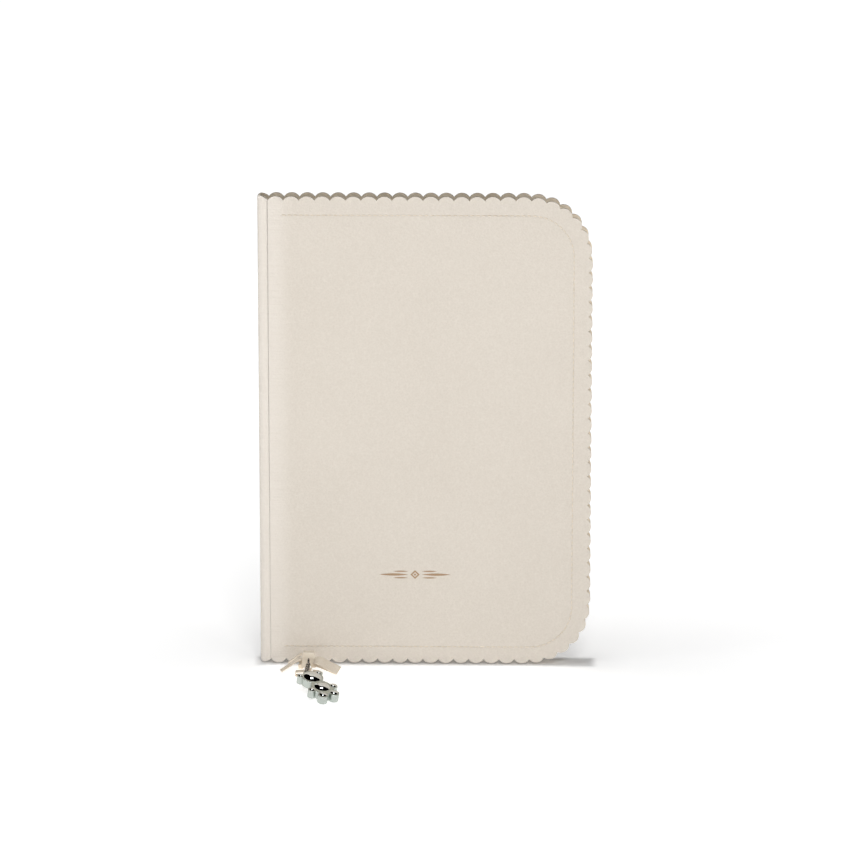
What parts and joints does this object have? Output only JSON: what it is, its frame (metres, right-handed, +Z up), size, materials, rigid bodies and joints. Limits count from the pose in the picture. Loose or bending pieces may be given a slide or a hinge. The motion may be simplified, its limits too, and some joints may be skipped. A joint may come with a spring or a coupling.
{
  "type": "zip-round book cover with booklet",
  "caption": "Slim prayer book in a cream leather zip-round cover with scalloped edges, one fine stitch line, a leather bow and a small metal bear charm on the zip pull.",
  "frame": {"origin": "on the standing surface, under the middle of the whole object", "axes": "+X from the spine to the fore edge, +Y from the front cover to the back cover, +Z up the height of the book"},
  "size_m": [0.166, 0.0816, 0.24],
  "materials": {
    "cover_leather": "fine grain, semi-matt",
    "inner_leather": "smooth, matt",
    "board": "plain",
    "lining": "fine weave",
    "thread": "twisted",
    "zip_tape": "woven",
    "zip_teeth": "polished",
    "zip_stops": "polished",
    "foil": "stamped foil",
    "card": "card",
    "paper": "uncoated",
    "binding": "book cloth",
    "slider_metal": "polished",
    "wire": "polished wire",
    "lace_leather": "smooth, semi-matt",
    "charm_metal": "satin silver",
    "charm_polish": "mirror silver"
  },
  "bodies": {
    "front_case": {"front_cover_leather": "cover_leather", "front_cover_backing": "inner_leather", "front_stiffener_board": "board", "front_lining": "lining", "front_sleeve_pocket": "lining", "front_zip_tape": "zip_tape", "front_zip_chain": "zip_teeth", "front_zip_stops": "zip_stops", "front_stitching": "thread", "front_foil_ornament": "foil", "booklet_front_card": "card", "page_block": "paper", "booklet_binding_strip": "binding", "booklet_headbands": "binding"},
    "spine": {"spine_leather": "cover_leather", "spine_backing": "inner_leather"},
    "back_case": {"back_cover_leather": "cover_leather", "back_cover_backing": "inner_leather", "back_stiffener_board": "board", "back_lining": "lining", "back_sleeve_pocket": "lining", "back_zip_tape": "zip_tape", "back_zip_chain": "zip_teeth", "back_zip_stops": "zip_stops", "back_stitching": "thread", "booklet_back_card": "card"},
    "leaf_1": {"loose_leaf_1": "paper"},
    "leaf_2": {"loose_leaf_2": "paper"},
    "leaf_3": {"loose_leaf_3": "paper"},
    "leaf_4": {"loose_leaf_4": "paper"},
    "slider": {"slider_body": "slider_metal", "slider_arch": "slider_metal"},
    "pull": {"pull_ring": "wire", "lace_hitch": "lace_leather", "pull_lace": "lace_leather", "bow_knot": "lace_leather", "bow_loop_right": "lace_leather", "bow_loop_left": "lace_leather", "bow_loop_front": "lace_leather", "bow_tail_left": "lace_leather", "bow_tongue": "lace_leather", "jump_ring": "wire"},
    "links": {"chain_link_1": "wire", "chain_link_2": "wire", "chain_link_3": "wire", "chain_link_4": "wire", "chain_link_5": "wire", "chain_link_6": "wire", "chain_link_7": "wire", "chain_link_8": "wire"},
    "charm": {"charm_body": "charm_metal", "charm_eyelet": "wire", "charm_head_dome": "charm_polish", "charm_belly_dome": "charm_polish", "charm_ear_domes": "charm_polish", "charm_foot_domes": "charm_polish", "charm_paw_domes": "charm_polish"}
  },
  "joints": [
    {"name": "spine_fold", "type": "hinge", "parent": "front_case", "child": "spine", "pos_m": [-0.0775, 0.0299, 0.12], "axis": [0, 0, 1], "range_deg": [0, 90]},
    {"name": "back_fold", "type": "hinge", "parent": "spine", "child": "back_case", "pos_m": [-0.0775, 0.0409, 0.12], "axis": [0, 0, 1], "range_deg": [0, 90]},
    {"name": "leaf_1_turn", "type": "hinge", "parent": "front_case", "child": "leaf_1", "pos_m": [-0.0705, 0.0365, 0.12], "axis": [0, 0, 1], "range_deg": [0, 27]},
    {"name": "leaf_2_turn", "type": "hinge", "parent": "front_case", "child": "leaf_2", "pos_m": [-0.071, 0.03695, 0.12], "axis": [0, 0, 1], "range_deg": [0, 54]},
    {"name": "leaf_3_turn", "type": "hinge", "parent": "front_case", "child": "leaf_3", "pos_m": [-0.0715, 0.0374, 0.12], "axis": [0, 0, 1], "range_deg": [0, 81]},
    {"name": "leaf_4_turn", "type": "hinge", "parent": "front_case", "child": "leaf_4", "pos_m": [-0.072, 0.03785, 0.12], "axis": [0, 0, 1], "range_deg": [0, 108]},
    {"name": "slider_run", "type": "slide", "parent": "front_case", "child": "slider", "axis": [1, 0, 0], "range_m": [0, 0.1]},
    {"name": "pull_swing", "type": "hinge", "parent": "slider", "child": "pull", "pos_m": [-0.06221, 0.0354, 0.0068], "axis": [0, 0, 1], "range_deg": [-18, 18]},
    {"name": "link_swing", "type": "hinge", "parent": "pull", "child": "links", "pos_m": [-0.058, 0.01092, 0.00552], "axis": [0, 0, 1], "range_deg": [-20, 20]},
    {"name": "charm_swing", "type": "hinge", "parent": "links", "child": "charm", "pos_m": [-0.058, -0.01623, 0.00935], "axis": [0, 0, 1], "range_deg": [-18, 18]}
  ],
  "couplings": [
    {"joint": "back_fold", "follows": "spine_fold", "ratio": 1},
    {"joint": "leaf_1_turn", "follows": "spine_fold", "ratio": 0.3},
    {"joint": "leaf_2_turn", "follows": "spine_fold", "ratio": 0.6},
    {"joint": "leaf_3_turn", "follows": "spine_fold", "ratio": 0.9},
    {"joint": "leaf_4_turn", "follows": "spine_fold", "ratio": 1.2}
  ]
}
